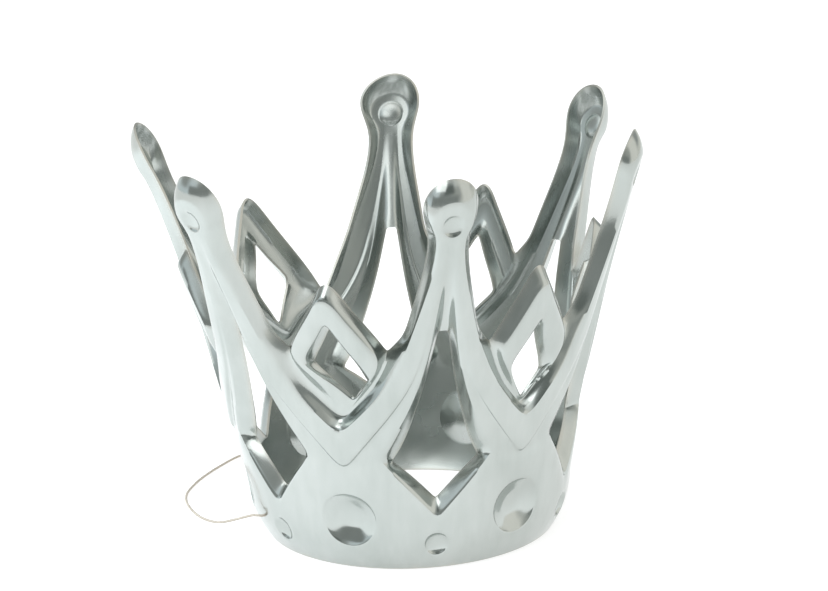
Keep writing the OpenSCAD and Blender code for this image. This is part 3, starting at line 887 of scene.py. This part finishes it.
# The curl is in mm at a height of 100 mm, and a tenth of it is the curl in 1/m
for name, value in (
        ("Spikes", 6), ("Base radius", base_r * MM), ("Flare", flare), ("Curl", curl / 10),
        ("Leans", lean_points), ("Shifts", shift_points), ("Lean height", lean_height * MM),
        ("Lean power", lean_power), ("Axis", (axis_x * MM, axis_y * MM, 0.0)),
        ("Smoothness", 2), ("Finish", silver)):
    roll_up[sockets[name].identifier] = value
wall = pattern.modifiers.new("wall", "SOLIDIFY")
wall.thickness, wall.offset = wall_t * MM, -1

punches = []
for a in hole_azimuths:
    bpy.ops.mesh.primitive_cylinder_add(
        vertices=punch_sides, radius=hole_d / 2 * MM, depth=punch_length * MM,
        location=out_of_axis(a, knot_face_r, hole_z),
        rotation=(math.pi / 2, 0, math.radians(a)))
    punches.append(bpy.context.object)
    punch = pattern.modifiers.new("punch", "BOOLEAN")
    punch.operation, punch.object = "DIFFERENCE", punches[-1]
print("steps:", [step.name for step in pattern.modifiers])

# %% Plain mesh of the crown
sharp_degrees = 42
graph = bpy.context.evaluated_depsgraph_get()
crown_mesh = bpy.data.meshes.new_from_object(pattern.evaluated_get(graph), depsgraph=graph)
crown_mesh.name = "crown"
crown_mesh.polygons.foreach_set("use_smooth", [True] * len(crown_mesh.polygons))
crown_mesh.set_sharp_from_angle(angle=math.radians(sharp_degrees))
for scrap in (pattern, lean_points, shift_points, *punches):
    bpy.data.objects.remove(scrap)
crown_mesh.calc_loop_triangles()
print("crown:", len(crown_mesh.loop_triangles), "triangles")


# %% Which points face inwards
def read_vectors(name):
    """A vector of every point of the crown, as rows of an array."""
    values = np.empty(len(crown_mesh.vertices) * 3)
    crown_mesh.vertices.foreach_get(name, values)
    return values.reshape(-1, 3)


side_contrast = 2
outward = read_vectors("co") - (axis_x * MM, axis_y * MM, 0)
outward[:, 2] = 0
outward /= np.linalg.norm(outward, axis=1)[:, None]
facing = (read_vectors("normal") * outward).sum(axis=1)
inside = crown_mesh.attributes.new("inside", "FLOAT", "POINT")
inside.data.foreach_set("value", np.clip(0.5 - facing * side_contrast, 0, 1).astype(np.float32))
crown = link("crown", crown_mesh)
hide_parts("crown_shell")
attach(crown, "root")
print("facing inwards:", int((facing < 0).sum()), "of", len(facing), "points")

# %% [markdown]
# ## The elastic's cover
# The rubber core is wrapped in two sets of fine beige thread that cross. Two
# slanted waves along the UV map, one each way, make the ribs of the braid.

# %% Elastic finish
cover = bpy.data.materials.new("covered elastic")
shade = emptied(cover)
place = shade.axes(shade.node("ShaderNodeTexCoord")["UV"])
spot = shade.node("ShaderNodeTexCoord")["Object"]
pitch_mm, strands = 1.6, 4
# The braid's colour is darker where its ribs are low and lighter where they are high, with noise
# mixed in
low_braid_colour, high_braid_colour = (0.36, 0.30, 0.24, 1), (0.70, 0.63, 0.54, 1)
rib_share, fuzz_height = 0.6, 0.3
weave_strength, weave_mm = 0.6, 0.1
along = place["X"] * (2 * math.pi / (pitch_mm * MM))
round_it = place["Y"] * (2 * math.pi * strands)
ribs = (along + round_it).math("SINE") * (along - round_it).math("SINE") * 0.5 + 0.5
fuzz = noise(shade, spot, scale=900, detail=3)
thread = shade.colour_mix(ribs * rib_share + fuzz * (1 - rib_share), low_braid_colour, high_braid_colour)
weave = shade.node("ShaderNodeBump", {}, {
    "Strength": weave_strength, "Distance": weave_mm * MM,
    "Height": ribs + fuzz * fuzz_height})["Normal"]
surface = shade.node("ShaderNodeBsdfPrincipled", {}, {
    "Base Color": thread, "Roughness": 0.75, "Sheen Weight": 0.2, "Normal": weave})[0]
shade.node("ShaderNodeOutputMaterial", {}, {"Surface": surface})
for piece in (elastic, *knots):
    piece.data.materials.append(cover)
print("cover:", len(cover.node_tree.nodes), "nodes")

# %% [markdown]
# ## The floor and the lights
# The wide band flares, so its faces look down and mirror the floor. The floor
# is plain and pale, and gives off a little light of its own, so that the silver
# is pale too and the floor comes out as white as paper. A small key light
# draws the bright arcs on the round ends, and a broad one softens the top. The
# bluish one on the left only lights the floor: it is kept out of the mirror,
# where it would eat into the outline of the tips.

# %% Floor and lights
floor_size = 10
floor_glow = 0.72
bpy.ops.mesh.primitive_plane_add(size=floor_size, location=(0, 0, 0))
floor = bpy.context.object
floor.name = "floor"
paper = bpy.data.materials.new("pale floor")
paper.use_nodes = True
paper_sockets = paper.node_tree.nodes["Principled BSDF"].inputs
for name, value in (("Base Color", (0.5, 0.5, 0.5, 1)), ("Roughness", 0.9),
                    ("Emission Color", (1, 1, 1, 1)), ("Emission Strength", floor_glow)):
    paper_sockets[name].default_value = value
floor.data.materials.append(paper)


def softbox(name, bearing, rise, distance, size, brightness, tint=(1, 1, 1)):
    """A soft light, its bearing from the front and rise in degrees, the rest in metres."""
    b, r = math.radians(bearing), math.radians(rise)
    place = aim + distance * Vector((math.sin(b) * math.cos(r), -math.cos(b) * math.cos(r),
                                     math.sin(r)))
    data = bpy.data.lights.new(name, "AREA")
    data.shape, data.size, data.size_y = "RECTANGLE", *size
    data.energy = brightness * math.pi * size[0] * size[1]
    data.color = tint
    light = bpy.data.objects.new(name, data)
    bpy.context.scene.collection.objects.link(light)
    light.location = place
    light.rotation_euler = (aim - place).to_track_quat("-Z", "Y").to_euler()
    return light


softbox("key", bearing=-36, rise=46, distance=0.5, size=(0.3, 0.2), brightness=1.3)
softbox("top", bearing=-50, rise=68, distance=1.6, size=(1.4, 1.2), brightness=0.5)
left_light = softbox("left", bearing=-104, rise=40, distance=0.5, size=(0.5, 0.5),
                     brightness=3.2, tint=(0.82, 0.92, 1))
left_light.visible_glossy = False
print("lights:", [light.name for light in bpy.data.lights])

# %% [markdown]
# ## The room
# A mirror shows its surroundings, so the room is most of the look. Its walls
# are pale, bluish on the left and cream on the right. Each row below blends in
# one patch with soft sides: the bright ceiling, a grey curtain behind the crown
# that gives the tips their outline, a bright window on the right, and the
# darker things in front, which show low in the dishes and the dimples.

# %% Room
left_wall, right_wall = (0.84, 0.92, 0.96, 1), (0.92, 0.90, 0.84, 1)
# name, bearing, its reach and its fade, rise, its reach and its fade, colour
patches = [
    ("ceiling", 0, 180, 1, 90, 16, 22, (1.15, 1.15, 1.13)),
    ("curtain right", 150, 50, 25, 30, 16, 8, (0.45, 0.47, 0.46)),
    ("curtain left", -150, 50, 25, 30, 16, 8, (0.45, 0.47, 0.46)),
    ("window", 66, 20, 16, 20, 22, 12, (1.08, 1.05, 0.99)),
    ("grey right", 24, 12, 14, 20, 12, 12, (0.55, 0.56, 0.53)),
    ("grey left", -18, 19, 14, 24, 16, 12, (0.42, 0.44, 0.43)),
    ("dark middle", -3, 14, 13, 33, 9, 10, (0.19, 0.21, 0.20)),
    ("low middle", 4, 20, 12, 6, 5, 6, (0.32, 0.34, 0.33)),
    ("low left", -50, 26, 8, 6, 11, 4, (0.32, 0.34, 0.33))]

world = bpy.data.worlds.new("studio")
bpy.context.scene.world = world
room = emptied(world)
look = room.axes(room.node("ShaderNodeTexCoord")["Generated"])
in_degrees = 180 / math.pi
bearing = look["X"].math("ARCTAN2", look["Y"] * -1) * in_degrees
rise = look["Z"].math("ARCSINE") * in_degrees


def window(value, centre, reach, fade):
    """1 within a reach of the centre, fading to 0 over the next stretch."""
    left = (reach + fade - (value - centre).math("ABSOLUTE")) / fade
    return left.math("MAXIMUM", 0).math("MINIMUM", 1)


seen = room.colour_mix(look["X"] * 0.5 + 0.5, left_wall, right_wall)
for _, at, at_reach, at_fade, up, up_reach, up_fade, colour in patches:
    share = window(bearing, at, at_reach, at_fade) * window(rise, up, up_reach, up_fade)
    seen = room.colour_mix(share, seen, (*colour, 1))
lit = room.node("ShaderNodeBackground", {}, {"Color": seen, "Strength": 1.0})[0]
room.node("ShaderNodeOutputWorld", {}, {"Surface": lit})
bpy.context.scene.view_settings.view_transform = "Standard"
print("room:", [patch[0] for patch in patches])
